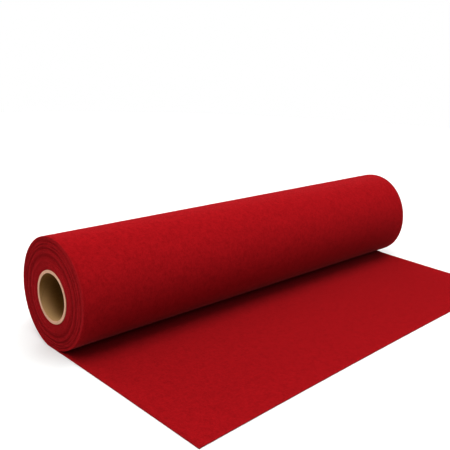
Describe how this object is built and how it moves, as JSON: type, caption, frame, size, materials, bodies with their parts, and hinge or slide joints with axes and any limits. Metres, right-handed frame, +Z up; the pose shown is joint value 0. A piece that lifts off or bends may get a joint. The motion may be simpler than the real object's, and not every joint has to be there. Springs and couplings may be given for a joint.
{
  "type": "roll of nonwoven fabric",
  "caption": "Roll of red needle-punched felt wound on a hollow cardboard core, lying on its side with the loose end laid flat in front.",
  "frame": {"origin": "bottom centre of the whole, on the surface that the roll and its loose end rest on", "axes": "+X along the roll and its core towards the far end, -Y the way the loose end reaches from under the roll, +Z up"},
  "size_m": [0.9114, 0.4632, 0.1912],
  "materials": {
    "cardboard": "plain tan spiral-wound board, matt",
    "red_felt": "matt red needle-punched felt"
  },
  "bodies": {
    "root": {"core_tube": "cardboard", "wound_roll": "red_felt", "loose_sheet": "red_felt"}
  },
  "joints": []
}
